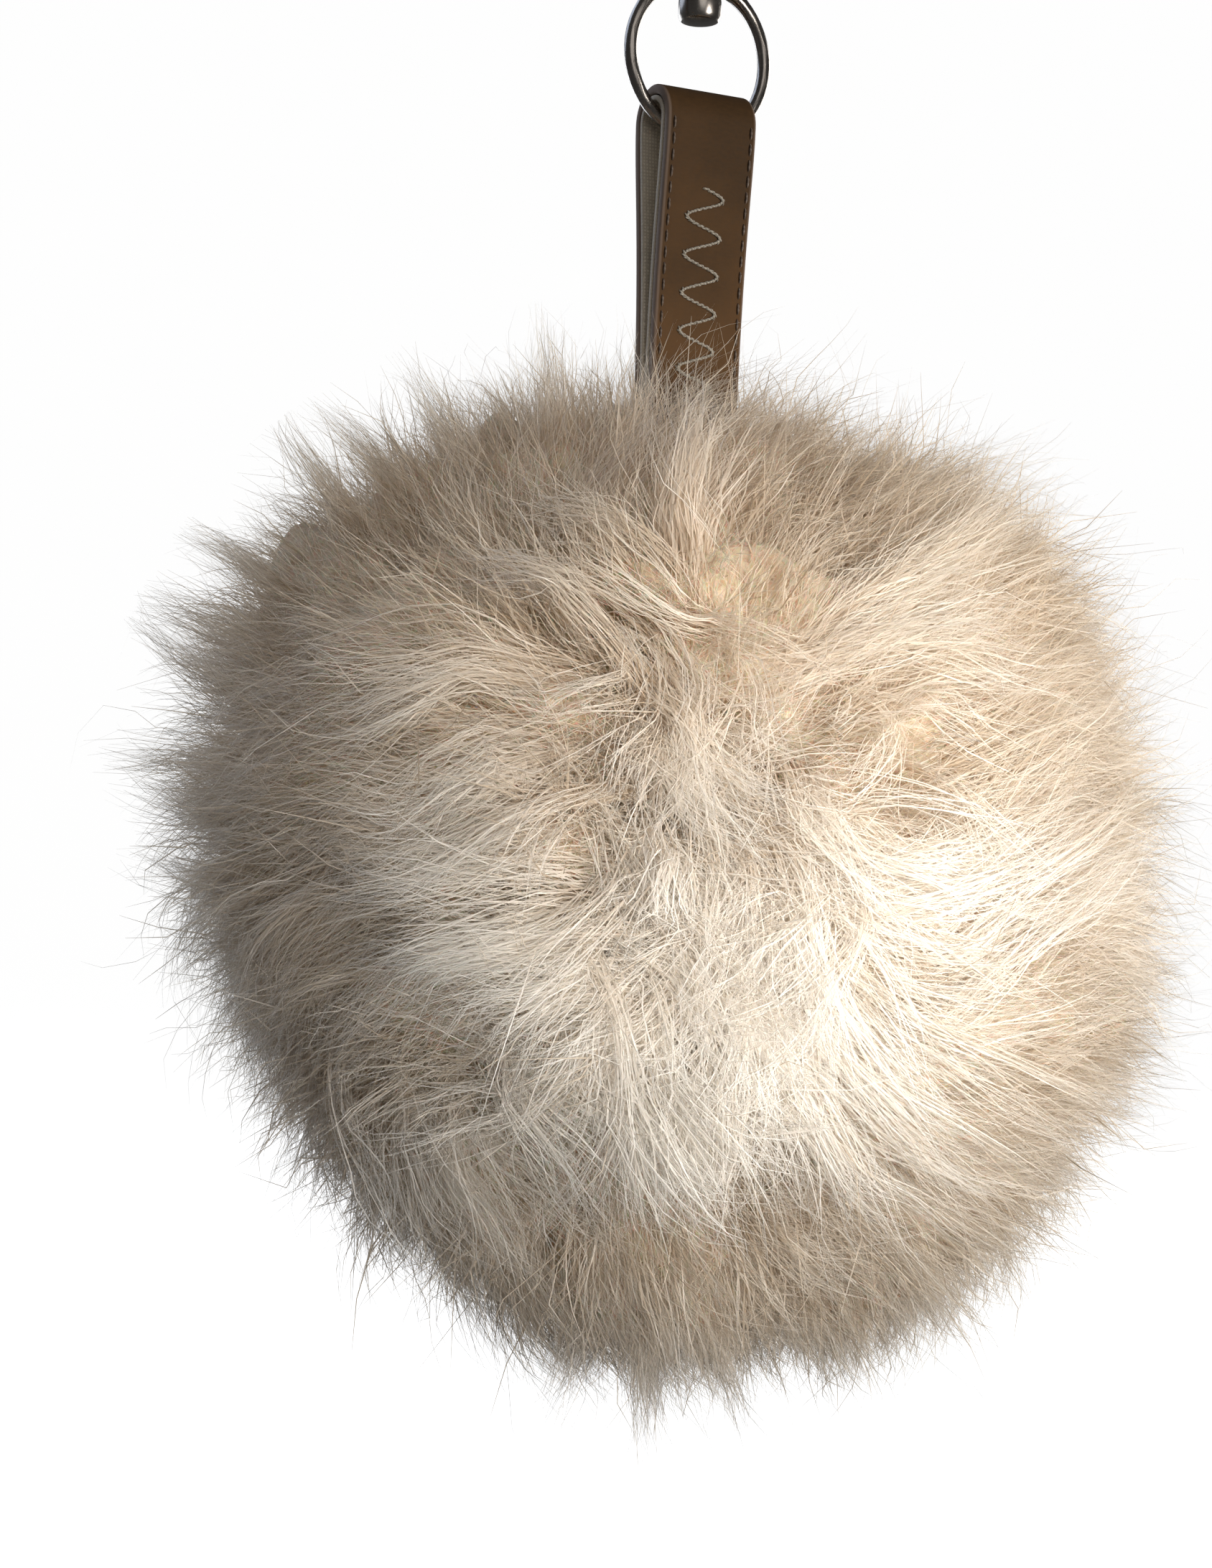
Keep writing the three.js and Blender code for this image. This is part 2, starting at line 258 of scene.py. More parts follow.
def edit_all():
    """Goes to edit mode with the whole mesh selected."""
    bpy.ops.object.mode_set(mode="EDIT")
    bpy.ops.mesh.select_all(action="SELECT")


def object_mode():
    bpy.ops.object.mode_set(mode="OBJECT")


def round_edges(piece, width, angle):
    """Bevels the active piece's edges that turn by more than this many degrees."""
    bevel = piece.modifiers.new("edges", "BEVEL")
    bevel.width = width
    bevel.segments = 3
    bevel.limit_method = "ANGLE"
    bevel.angle_limit = math.radians(angle)
    bpy.ops.object.modifier_apply(modifier="edges")


def paint(obj, finish):
    """Gives a piece one material in place of what it had."""
    obj.data.materials.clear()
    obj.data.materials.append(finish.material)
    return obj


# %% [markdown]
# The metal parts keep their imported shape. Each gets a copy with its loose triangles merged, its
# sharp edges rounded by a bevel and its curves shaded smooth, because bright thin edges are what
# makes plated metal look real.

# %% Softened metal parts
def softened(node, rounding, body, finish, smooth_angle=42):
    """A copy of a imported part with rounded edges, which stands for that part."""
    piece = frame["nodes"][node].copy()
    piece.data = piece.data.copy()
    piece.parent = None
    for key in list(piece.keys()):
        del piece[key]
    piece.name = node + "_finished"
    bpy.context.scene.collection.objects.link(piece)
    choose(piece)
    edit_all()
    bpy.ops.mesh.remove_doubles(threshold=0.000005)
    bpy.ops.mesh.dissolve_limited(angle_limit=math.radians(0.6))
    bpy.ops.mesh.customdata_custom_splitnormals_clear()
    object_mode()
    round_edges(piece, rounding, 38)
    bpy.ops.object.shade_smooth_by_angle(angle=math.radians(smooth_angle))
    paint(piece, finish)
    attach(piece, body)
    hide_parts(node)
    return piece


gunmetal = Finish("gunmetal")
cloud = gunmetal.noise(220, 4.0, 0.6)
rub = gunmetal.noise(1800, 3.0, 0.6)
plate = gunmetal.ramp(cloud, (0.25, (0.20, 0.18, 0.165)), (0.75, (0.34, 0.315, 0.29)))
plate_rough = 0.14 + 0.16 * cloud + 0.06 * rub
rub_marks = gunmetal.bump(rub, 0.004 * MM)
gunmetal.shade(base_color=plate, metallic=1.0, roughness=plate_rough, normal=rub_marks)

spring_steel = Finish("spring_steel")
drawn = spring_steel.noise(900, 3.0)
steel_colour = spring_steel.ramp(drawn, (0.3, (0.42, 0.42, 0.41)), (0.7, (0.60, 0.59, 0.57)))
spring_steel.shade(base_color=steel_colour, metallic=1.0, roughness=0.25 + 0.2 * drawn)

softened("hook_body", 0.35 * MM, "hook", gunmetal)
softened("hook_gate", 0.30 * MM, "gate", gunmetal)
softened("gate_pin", 0.12 * MM, "hook", gunmetal)
softened("gate_spring", 0.02 * MM, "hook", spring_steel)
softened("swivel_post", 0.30 * MM, "hook", gunmetal)
softened("swivel_ring", 0.20 * MM, "ring", gunmetal)

# %% [markdown]
# The strap is one band folded over the ring, faced in brown leather with a dull woven lining
# inside. It is drawn as a person would: a row of points across, pulled up the front leg, spun over
# the ring and pulled down the back, then given its thickness and rounded edges.

# %% Strap band and lining
LEG_STEPS = 44


def strap_half_depth(height):
    """Half the folded strap's depth at this height, which narrows below the fold."""
    below = np.clip((FOLD_HEIGHT - height) / MM, 0, None)
    return (2.3 + 2.4 * (1 + below / 9) * np.exp(-below / 9)) * MM


def folded_band(name, width, inset, columns, bottom):
    """A band that follows the strap's outer face, this far inside it."""
    heights = np.linspace(bottom, FOLD_HEIGHT, LEG_STEPS + 1)
    depths = strap_half_depth(heights) - inset
    mesh = bpy.data.meshes.new(name)
    piece = add_object(name, mesh)
    places = np.linspace(-width / 2, width / 2, columns)
    row = [(x, -depths[0], heights[0]) for x in places]
    mesh.from_pydata(row, [(i, i + 1) for i in range(columns - 1)], [])
    choose(piece)
    edit_all()
    for step in range(LEG_STEPS):
        move = (0, depths[step] - depths[step + 1], heights[step + 1] - heights[step])
        bpy.ops.mesh.extrude_region_move(TRANSFORM_OT_translate={"value": move})
    bpy.ops.mesh.spin(steps=20, angle=math.pi, center=(0, 0, FOLD_HEIGHT), axis=(1, 0, 0))
    for step in reversed(range(LEG_STEPS)):
        move = (0, depths[step] - depths[step + 1], heights[step] - heights[step + 1])
        bpy.ops.mesh.extrude_region_move(TRANSFORM_OT_translate={"value": move})
    bpy.ops.mesh.select_all(action="SELECT")
    bpy.ops.mesh.remove_doubles(threshold=0.00001)
    object_mode()
    return piece


def path_coordinate(y, z):
    """Metres along the strap from the top of the fold: negative down the front, positive behind."""
    quarter = FOLD_RADIUS * math.pi / 2
    if z < FOLD_HEIGHT:
        return math.copysign(quarter + FOLD_HEIGHT - z, y)
    return FOLD_RADIUS * math.atan2(y, z - FOLD_HEIGHT)


def thicken(piece, thickness, rounding):
    """Gives a band its thickness inwards, rounds its edges and lays its UV map, in metres."""
    choose(piece)
    edit_all()
    bpy.ops.mesh.normals_make_consistent(inside=False)
    object_mode()
    first = min(piece.data.polygons, key=lambda face: face.center.y)
    if first.normal.y > 0:
        bpy.ops.object.mode_set(mode="EDIT")
        bpy.ops.mesh.flip_normals()
        object_mode()
    solid = piece.modifiers.new("thickness", "SOLIDIFY")
    solid.thickness = thickness
    solid.offset = -1
    bpy.ops.object.modifier_apply(modifier="thickness")
    round_edges(piece, rounding, 50)
    layer = piece.data.uv_layers.new(name="weave")
    points = piece.data.vertices
    for corner in piece.data.loops:
        x, y, z = points[corner.vertex_index].co
        layer.data[corner.index].uv = (x, path_coordinate(y, z))
    bpy.ops.object.shade_smooth_by_angle(angle=math.radians(40))
    return piece


band = folded_band("strap_band_leather", STRAP_WIDTH, 0, 15, STRAP_END)
band = thicken(band, 1.3 * MM, 0.35 * MM)
lining_low, lining_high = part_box("strap_lining")
lining_width = lining_high.x - lining_low.x
lining = folded_band("strap_lining_cloth", lining_width, 1.45 * MM, 11, STRAP_END)
lining = thicken(lining, 0.75 * MM, 0.2 * MM)

leather = Finish("strap_leather")
weave = leather.node("UVMap", {"uv_map": "weave"})
across_grain = leather.node("Mapping", None, {"Vector": weave, "Scale": (0.35, 1.0, 1.0)})
ribs = leather.noise(2600, 3.0, 0.6, vector=across_grain)
grain = leather.noise(1500, 4.0, 0.65)
pores = leather.noise(4200, 2.0)
cloudy = leather.noise(70, 3.0, 0.6)
off_middle = leather.node("Math", {"operation": "ABSOLUTE"}, {0: leather.part(leather.place(), 0)})
height = leather.part(leather.place(), 2)
edge_mask = leather.fade(off_middle, STRAP_WIDTH / 2 - 0.5 * MM, STRAP_WIDTH / 2 - 0.15 * MM)
# Painted shade: the leather is painted darker from 45 mm below the fold up to the fold, over its own
# cloudy tone.
lower = leather.fade(height, FOLD_HEIGHT + 3 * MM, FOLD_HEIGHT - 45 * MM)
tone_and_painted_shade = lower * 0.7 + (cloudy - 0.5) * 1.3
brown = leather.ramp(tone_and_painted_shade, (0.0, (0.040, 0.023, 0.010)), (0.9, (0.120, 0.060, 0.021)))
worn = leather.mix(grain * 0.35 + ribs * 0.25 - 0.1, brown, (0.135, 0.066, 0.024))
worn = leather.mix(edge_mask, worn, (0.20, 0.145, 0.11))
leather_height = ribs * 0.45 + grain * 0.35 + pores * 0.2
leather.shade(
    base_color=worn,
    roughness=0.55 + 0.25 * grain,
    specular_ior_level=0.14,
    normal=leather.bump(leather_height, 0.06 * MM, 0.7),
)
paint(band, leather)

cloth = Finish("strap_lining_cloth")
cloth_map = cloth.node("UVMap", {"uv_map": "weave"})
cloth_threads = {"Vector": cloth_map, "Scale": 700.0, "Distortion": 0.8, "Detail": 1.0}
warp, weft = (cloth.node("TexWave", {"bands_direction": way}, cloth_threads) for way in "XY")
thread_height = warp * weft
fuzz = cloth.noise(2500, 3.0)
cloth_tone = thread_height * 0.6 + fuzz * 0.4
cloth_colour = cloth.ramp(cloth_tone, (0.1, (0.44, 0.38, 0.30)), (0.8, (0.70, 0.63, 0.52)))
cloth.shade(base_color=cloth_colour, roughness=0.85, normal=cloth.bump(thread_height, 0.08 * MM))
paint(lining, cloth)
for piece, node in ((band, "strap_band"), (lining, "strap_lining")):
    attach(piece, "strap")
    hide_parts(node)
print("strap triangles:", sum(len(f.vertices) - 2 for f in band.data.polygons))

# %% [markdown]
# Two rows of stitches run down the edges, and a plain wavy line is embroidered down the middle
# of the front. A stitch is a short thick thread that dips into the strap at both ends, so one is
# modelled from a small ball and copied along each line.

# %% Stitches
def stitch_line(name, places, ways, length, radius):
    """Copies of one stitch at these places, each along its way, as one mesh."""
    deselect()
    bpy.ops.mesh.primitive_uv_sphere_add(segments=8, ring_count=7, radius=1)
    model = bpy.context.object
    shape = np.array([v.co for v in model.data.vertices])
    faces = [tuple(f.vertices) for f in model.data.polygons]
    bpy.data.objects.remove(model)
    shape[:, 2] = np.sign(shape[:, 2]) * np.abs(shape[:, 2]) ** 0.7
    bow = 1 - 0.9 * shape[:, 2] ** 4
    points = []
    for place, way in zip(places, ways):
        way = way / np.linalg.norm(way)
        out = np.array([0.0, -1.0, 0.0])
        out = out - way * (out @ way)
        out /= np.linalg.norm(out)
        over = np.cross(way, out)
        stitch = np.outer(shape[:, 2] * length / 2, way)
        stitch += np.outer(shape[:, 0] * radius, over) + np.outer((shape[:, 1] + bow) * radius, out)
        points.append(stitch + place)
    size = len(shape)
    mesh = bpy.data.meshes.new(name)
    mesh.from_pydata(
        np.concatenate(points).tolist(), [],
        [tuple(i + n * size for i in face) for n in range(len(points)) for face in faces],
    )
    piece = add_object(name, mesh)
    choose(piece)
    bpy.ops.object.shade_smooth()
    return piece


def front_face(x, below):
    """The point on the strap's front face this far across and this far below the fold's centre."""
    z = FOLD_HEIGHT - below
    return np.array([x, -strap_half_depth(z), z])


def thread_finish(name, dark, light, ply):
    finish = Finish(name)
    turns = {"Vector": finish.place(), "Scale": ply, "Distortion": 2.0, "Detail": 2.0}
    twist = finish.node("TexWave", {"bands_direction": "DIAGONAL"}, turns)
    fibre = finish.noise(5000, 3.0)
    colour = finish.ramp(twist * 0.6 + fibre * 0.4, (0.2, dark), (0.8, light))
    finish.shade(
        base_color=colour, roughness=0.55, sheen_weight=0.3, sheen_roughness=0.4,
        normal=finish.bump(twist, 0.05 * MM),
    )
    return finish


edge_thread = thread_finish("edge_thread", (0.07, 0.048, 0.034), (0.15, 0.108, 0.08), 900.0)
pale_thread = thread_finish("pale_thread", (0.22, 0.195, 0.155), (0.46, 0.42, 0.35), 1100.0)
SEAM_TOP, SEAM_END, SEAM_OUT = 1 * MM, 50 * MM, 5.9 * MM
STITCH_PITCH, STITCH_LENGTH, STITCH_RADIUS = 2.1 * MM, 1.6 * MM, 0.16 * MM
for name, across_strap in (("edge_stitch_left", -SEAM_OUT), ("edge_stitch_right", SEAM_OUT)):
    drops = np.arange(SEAM_TOP, SEAM_END, STITCH_PITCH)
    line = np.array([front_face(across_strap, d) for d in drops])
    ahead_of = np.array([front_face(across_strap, d + 0.5 * MM) for d in drops])
    seam = stitch_line(name + "_thread", line, ahead_of - line, STITCH_LENGTH, STITCH_RADIUS)
    paint(seam, edge_thread)
    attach(seam, "strap")
    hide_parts(name)

WAVE_TOP, WAVE_END, WAVE_SWING, WAVE_MIDDLE = 9 * MM, 39 * MM, 2.6 * MM, -0.4 * MM
WAVES, WAVE_STITCHES = 6, 118


def wave_point(share):
    drop = WAVE_TOP + (WAVE_END - WAVE_TOP) * share
    return front_face(WAVE_MIDDLE + WAVE_SWING * math.sin(2 * math.pi * WAVES * share), drop)


shares = np.linspace(0, 1, WAVE_STITCHES)
wave = np.array([wave_point(v) for v in shares])
wave_way = np.array([wave_point(v + 0.002) - wave_point(v - 0.002) for v in shares])
lean = np.array([0.45, 0.0, 0.25])
wave_way = wave_way / np.linalg.norm(wave_way, axis=1, keepdims=True) + lean
motif = stitch_line("wavy_stitching", wave, wave_way, 1.15 * MM, 0.17 * MM)
paint(motif, pale_thread)
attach(motif, "strap")
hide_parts("motif_thread")

# %% [markdown]
# Inside the ball, out of sight, a sheepskin pouch is stuffed with wadding and drawn shut round a
# button that is tied to the strap's end. The soft pieces keep their packed size and get the
# puckers and lumps of real skin and wadding.

# %% Pieces inside the ball
def lumpy(node, depth, scale, finish):
    """A softened copy of a packed soft part, subdivided and pressed in and out by clouds."""
    piece = softened(node, 0.3 * MM, "pompom", finish, 80)
    piece.name = node + "_soft"
    choose(piece)
    rounder = piece.modifiers.new("rounder", "SUBSURF")
    rounder.subdivision_type = "SIMPLE"
    rounder.levels = rounder.render_levels = 1
    bpy.ops.object.modifier_apply(modifier="rounder")
    clouds = bpy.data.textures.new(node + "_lumps", "CLOUDS")
    clouds.noise_scale = scale
    press = piece.modifiers.new("lumps", "DISPLACE")
    press.texture = clouds
    press.texture_coords = "LOCAL"
    press.strength = depth
    press.mid_level = 0.8
    bpy.ops.object.modifier_apply(modifier="lumps")


hide = Finish("hide")
hide_pores = hide.noise(1400, 5.0, 0.65)
hide_cloud = hide.noise(60, 3.0)
hide_tone = hide_cloud * 0.7 + hide_pores * 0.3
hide_colour = hide.ramp(hide_tone, (0.3, (0.55, 0.43, 0.29)), (0.7, (0.74, 0.63, 0.47)))
hide.shade(base_color=hide_colour, roughness=0.85, normal=hide.bump(hide_pores, 0.12 * MM))

wadding = Finish("wadding")
wool = wadding.noise(700, 6.0, 0.7, distortion=1.5)
wool_colour = wadding.ramp(wool, (0.3, (0.74, 0.72, 0.68)), (0.7, (0.93, 0.92, 0.90)))
wadding.shade(base_color=wool_colour, roughness=0.95, normal=wadding.bump(wool, 0.6 * MM))

button_finish = Finish("button")
swirls = button_finish.noise(140, 3.0, 0.5, distortion=1.2)
button_colour = button_finish.ramp(swirls, (0.35, (0.70, 0.65, 0.56)), (0.65, (0.86, 0.83, 0.76)))
button_finish.shade(base_color=button_colour, roughness=0.3 + 0.1 * swirls)

lumpy("pelt", 0.5 * MM, 0.008, hide)
lumpy("stuffing", 0.6 * MM, 0.010, wadding)
softened("anchor_button", 0.35 * MM, "pompom", button_finish)
softened("gather_thread", 0.05 * MM, "pompom", edge_thread)
softened("anchor_tie", 0.05 * MM, "pompom", edge_thread)

# %% [markdown]
# The fur is long hair on a small skin. From outside only the upper layers show, combed this way
# and that, with roots painted darker, partly their own tan and partly painted shade for the gaps.
# Particle hair would not export as a mesh, so each hair is a thin ribbon, computed with arrays.
# First comes the comb: strokes on the ball, each with the place it passes and the way the tips
# point. Between strokes the flow is their blend.

# %% Comb the flow
RANDOM = np.random.default_rng(7)
VIEW = np.array([view_right, view_up, toward])
# Each stroke: where it lies on the ball, as right, up and facing shares of its radius, then the
# way the tips point, right and up, then how wide the stroke reaches. A short way stands up more.
STROKES = [
    (-0.45, 0.72, 0.40, -0.30, 0.45, 0.30),
    (-0.85, 0.35, 0.30, -0.70, 0.40, 0.30),
    (-0.62, 0.35, 0.65, -0.75, 0.20, 0.28),
    (-0.30, 0.30, 0.90, -0.75, -0.15, 0.22),
    (-0.45, 0.10, 0.85, -0.95, -0.25, 0.26),
    (-0.70, -0.02, 0.70, -1.00, 0.05, 0.28),
    (-0.20, -0.15, 0.95, -0.95, 0.00, 0.22),
    (-0.45, -0.22, 0.85, -0.95, -0.30, 0.22),
    (-0.66, -0.34, 0.66, 0.45, -0.80, 0.18),
    (-0.28, -0.44, 0.85, 0.75, -0.65, 0.24),
    (-0.05, -0.62, 0.75, 0.70, -0.70, 0.24),
    (-0.60, -0.58, 0.55, 0.60, -0.70, 0.28),
    (-0.90, -0.25, 0.35, -0.20, -0.80, 0.30),
    (0.05, -0.88, 0.35, 0.20, -0.50, 0.30),
    (0.40, -0.62, 0.65, 0.95, -0.45, 0.25),
    (0.25, -0.30, 0.90, 0.25, -1.00, 0.20),
    (0.12, -0.05, 0.98, 0.35, -0.95, 0.18),
    (0.02, 0.22, 0.95, 0.60, -0.55, 0.20),
    (0.50, -0.25, 0.80, 1.00, 0.45, 0.26),
    (0.72, -0.42, 0.50, 0.90, 0.50, 0.26),
    (0.45, 0.08, 0.88, 0.95, 0.30, 0.26),
    (0.80, 0.15, 0.55, 0.90, 0.40, 0.30),
    (0.45, 0.48, 0.70, 0.85, 0.35, 0.28),
    (0.78, 0.50, 0.35, 0.70, 0.45, 0.28),
    (0.35, 0.85, 0.30, 0.35, 0.45, 0.25),
    (0.05, 0.62, 0.75, 0.15, 0.55, 0.20),
    (-0.15, 0.50, 0.80, -0.35, 0.30, 0.20),
    (0.70, 0.30, -0.60, -0.60, -0.80, 0.40),
    (0.10, 0.20, -0.95, -0.70, -0.70, 0.40),
    (-0.60, 0.10, -0.75, -0.50, -0.90, 0.40),
    (0.20, -0.60, -0.75, -0.90, -0.40, 0.40),
    (-0.30, 0.75, -0.55, -0.40, 0.40, 0.40),
    (0.75, -0.45, -0.45, 0.50, -0.80, 0.35),
]


def unit(vectors):
    return vectors / np.linalg.norm(vectors, axis=-1, keepdims=True)


def dot(a, b):
    return np.sum(a * b, axis=-1, keepdims=True)


def stroke_arrays():
    """Stroke places, ways and widths as arrays, turned from the camera's axes to the ball's."""
    table = np.array(STROKES)
    places = unit(table[:, :3]) @ VIEW
    ways = table[:, 3:4] * VIEW[0] + table[:, 4:5] * VIEW[1]
    lengths = np.linalg.norm(ways, axis=1, keepdims=True)
    ways = unit(ways - dot(ways, places) * places) * lengths
    return places, ways, table[:, 5]


STROKE_PLACES, STROKE_WAYS, STROKE_WIDTHS = stroke_arrays()


def swirl(directions, frequency, seed):
    """A smooth vector noise on directions, about 1 in size, from sums of sines."""
    source = np.random.default_rng(seed)
    total = np.zeros_like(directions)
    for octave in range(3):
        waves = source.normal(size=(3, 3, 5)) * frequency * 1.6**octave
        phases = source.uniform(0, 2 * math.pi, size=(3, 5))
        for axis in range(3):
            total[..., axis] += np.sin(directions @ waves[axis] + phases[axis]).mean(-1) / 1.5**octave
    return total * 1.6


HANG_WAY = np.array([0.0, 0.0, -0.5])
HANG_WEIGHT = 0.15


def flow(points):
    """The way hair lies at these directions from the ball's centre: tangents about 1 long or less."""
    gap = ((points[:, None, :] - STROKE_PLACES[None]) ** 2).sum(-1)
    weight = np.exp(-gap / (2 * STROKE_WIDTHS**2))
    total = (weight[..., None] * STROKE_WAYS[None]).sum(1) + HANG_WAY * HANG_WEIGHT
    total /= weight.sum(1, keepdims=True) + HANG_WEIGHT
    total += 0.30 * swirl(points, 3.0, 11) + 0.22 * swirl(points, 9.0, 12)
    return total - dot(total, points) * points


print("strokes:", len(STROKES))

# %% [markdown]
# Locks start all over the skin, evenly but not in rows. Each lock leaves the skin straight out,
# rises to the ball's surface and then follows the comb. The ball is not quite round: the fur
# stands higher in some lobes and lies flatter in others.

# %% Grow the guide locks
GUIDE_STEPS = 16
ROOT_RADIUS = 52 * MM
COAT_RADIUS = 66.0  # in mm
# Each lobe: its place, as right, up and facing shares, its extra height in mm and its width.
LOBES = [
    (-0.80, 0.60, 0.10, 7.0, 0.30),
    (-0.35, 0.92, 0.10, 5.0, 0.28),
    (0.60, 0.78, 0.10, 4.5, 0.32),
    (-0.80, -0.62, 0.20, -4.0, 0.40),
    (0.78, -0.62, 0.10, 2.5, 0.30),
    (-0.45, -0.90, 0.10, -2.5, 0.30),
    (0.05, -1.00, 0.10, 2.0, 0.25),
    (-0.39, 0.14, 0.90, -4.0, 0.09),
    (-0.31, -0.44, 0.84, -4.5, 0.11),
    (-0.18, -0.66, 0.72, -3.5, 0.08),
    (0.06, -0.12, 0.98, -3.0, 0.07),
    (-0.60, -0.10, 0.78, -3.0, 0.09),
    (0.58, -0.10, 0.80, -2.5, 0.10),
    (0.31, 0.06, 0.95, 3.0, 0.12),
    (0.15, -0.42, 0.88, 3.5, 0.15),
    (-0.12, -0.24, 0.96, 2.5, 0.10),
    (0.42, 0.46, 0.77, 3.0, 0.15),
    (-0.02, 0.56, 0.83, 3.0, 0.14),
    (-0.50, 0.42, 0.74, 2.5, 0.13),
]


def surface_radius(directions):
    """How far from the centre the fur's surface is along each direction."""
    lobes = np.array(LOBES)
    places = unit(lobes[:, :3]) @ VIEW
    gap = ((directions[..., None, :] - places) ** 2).sum(-1)
    extra = (lobes[:, 3] * np.exp(-gap / (2 * lobes[:, 4] ** 2))).sum(-1)
    rough = swirl(directions, 5.0, 21)[..., 0] * 1.6 + swirl(directions, 12.0, 22)[..., 0] * 1.3
    return (COAT_RADIUS + extra + rough) * MM


def even_directions(count):
    """Directions spread evenly over a ball by the golden angle, then jittered."""
    steps = np.arange(count) + 0.5
    height = 1 - 2 * steps / count
    turn = steps * math.pi * (3 - math.sqrt(5))
    ring = np.sqrt(1 - height**2)
    directions = np.stack([ring * np.cos(turn), ring * np.sin(turn), height], -1)
    return unit(directions + RANDOM.normal(scale=0.6 / math.sqrt(count), size=(count, 3)))


def grow(roots, length, rise=2.2, extra_height=0.0, stray=16.0):
    """Paths from these root directions, which rise to the surface while they follow the flow.
    Each strays from the flow by its own angle, about this many degrees."""
    count = len(roots)
    off_course = np.radians(RANDOM.normal(scale=stray, size=(count, 1)))
    paths = np.zeros((count, GUIDE_STEPS, 3))
    heading = roots.copy()
    for step in range(GUIDE_STEPS):
        share = step / (GUIDE_STEPS - 1)
        height = 1 - (1 - share) ** rise
        radius = ROOT_RADIUS + (surface_radius(heading) + extra_height - ROOT_RADIUS) * height
        paths[:, step] = heading * radius[:, None]
        speed = 1.7 * share**0.7 / (GUIDE_STEPS - 1)
        lie = flow(heading)
        lie = lie * np.cos(off_course) + np.cross(heading, lie) * np.sin(off_course)
        heading = unit(heading + lie * (length * speed / BALL_RADIUS)[:, None])
    return paths


# %% [markdown]
# Around every guide grow the single hairs. They start spread out and draw together in strands
# towards the tips, as fur does. Each strand drifts its own way across its neighbours, and each
# hair has its own length, depth, bend and frizz, and its own tone.

# %% Grow hairs round the guides
FARTHEST_TIP = BALL_RADIUS + 12 * MM
STRANDS = 7  # in each lock
OWN_DRIFT = 0.9  # mm that a hair strays from its strand
FRIZZ_WAVES = ((0.7, 2.6), (1.7, 0.9), (3.3, 0.45))  # each: waves along a hair, and its size in mm


def along(paths, owner, share):
    """Points at these shares, one row per hair, of each hair's own guide path."""
    place = np.clip(share, 0, 1) * (paths.shape[1] - 1)
    low = np.minimum(place.astype(int), paths.shape[1] - 2)
    part = (place - low)[..., None]
    own = owner[:, None]
    return paths[own, low] * (1 - part) + paths[own, low + 1] * part


def mostly_one(source, shape):
    """Random sizes round 1, a few of them up to 3."""
    return np.minimum(source.lognormal(0, 0.8, shape), 3.0)


def hairs_round(paths, per_lock, steps, seed, spread=2.6, gather=0.5, drift=4.0, frizz=0.26,
                depth=2.4, lift_tips=1.3, shortest=0.55, layering=2.2):
    """Hair centrelines about the ball's centre, by hair and step, and each hair's tone from 0 to 1.
    Spreads, drifts, depths and lifts are in millimetres."""
    source = np.random.default_rng(seed)
    locks = len(paths)
    count = locks * per_lock
    owner = np.repeat(np.arange(locks), per_lock)
    strand = owner * STRANDS + source.integers(0, STRANDS, count)
    strand_off = source.normal(size=(locks * STRANDS, 2))[strand] * spread
    strand_drift = source.normal(size=(locks * STRANDS, 2))[strand] * drift
    own_off = source.normal(size=(count, 2))
    own_way = np.clip(source.normal(size=(count, 2)), -2.2, 2.2)
    strand_drift = strand_drift + own_way * OWN_DRIFT * mostly_one(source, (count, 1))
    reach = source.uniform(shortest, 1.0, count) * source.uniform(0.85, 1.0, locks)[owner]
    share = np.linspace(0, 1, steps)
    centre = along(paths, owner, share[None] * reach[:, None])
    tangent = unit(np.gradient(centre, axis=1))
    outward = unit(centre)
    sideways = unit(np.cross(tangent, outward) + 1e-9)
    lift = unit(np.cross(sideways, tangent))
    strand_gather = 1 - gather * share
    own_gather = 1 - 0.75 * share**0.8
    off_side = strand_off[:, :1] * strand_gather + own_off[:, :1] * own_gather
    off_side = off_side + strand_drift[:, :1] * share**1.5
    off_lift = strand_off[:, 1:] * strand_gather * 0.6 + own_off[:, 1:] * own_gather
    off_lift = off_lift + strand_drift[:, 1:] * 0.4 * share**1.5
    for waves, size in FRIZZ_WAVES:
        phase = source.uniform(0, 2 * math.pi, (count, 2))
        rate = waves * source.uniform(0.7, 1.4, (count, 1))
        amount = size * frizz * mostly_one(source, (count, 1)) * share
        off_side = off_side + amount * np.sin(2 * math.pi * rate * share + phase[:, :1])
        off_lift = off_lift + amount * 0.6 * np.sin(2 * math.pi * rate * share + phase[:, 1:])
    sink = -np.abs(source.normal(size=(count, 1))) * depth * share**0.8
    sink = sink + np.minimum(source.exponential(size=(count, 1)), 3) * lift_tips * share**2.5
    sink = sink + np.clip(source.normal(size=(locks, 1)), -2, 2)[owner] * layering * share
    points = centre + (sideways * off_side[..., None] + lift * off_lift[..., None]) * MM
    tone = 0.30 * source.uniform(size=locks)[owner]
    tone = tone + 0.30 * source.uniform(size=locks * STRANDS)[strand]
    tone = tone + 0.40 * source.uniform(size=count)
    return within_reach(points + outward * sink[..., None] * MM), tone


def within_reach(points):
    """Draws in any hair that would stand too far out of the ball."""
    radius = np.linalg.norm(points, axis=-1, keepdims=True)
    return points * np.minimum(1, FARTHEST_TIP / radius)


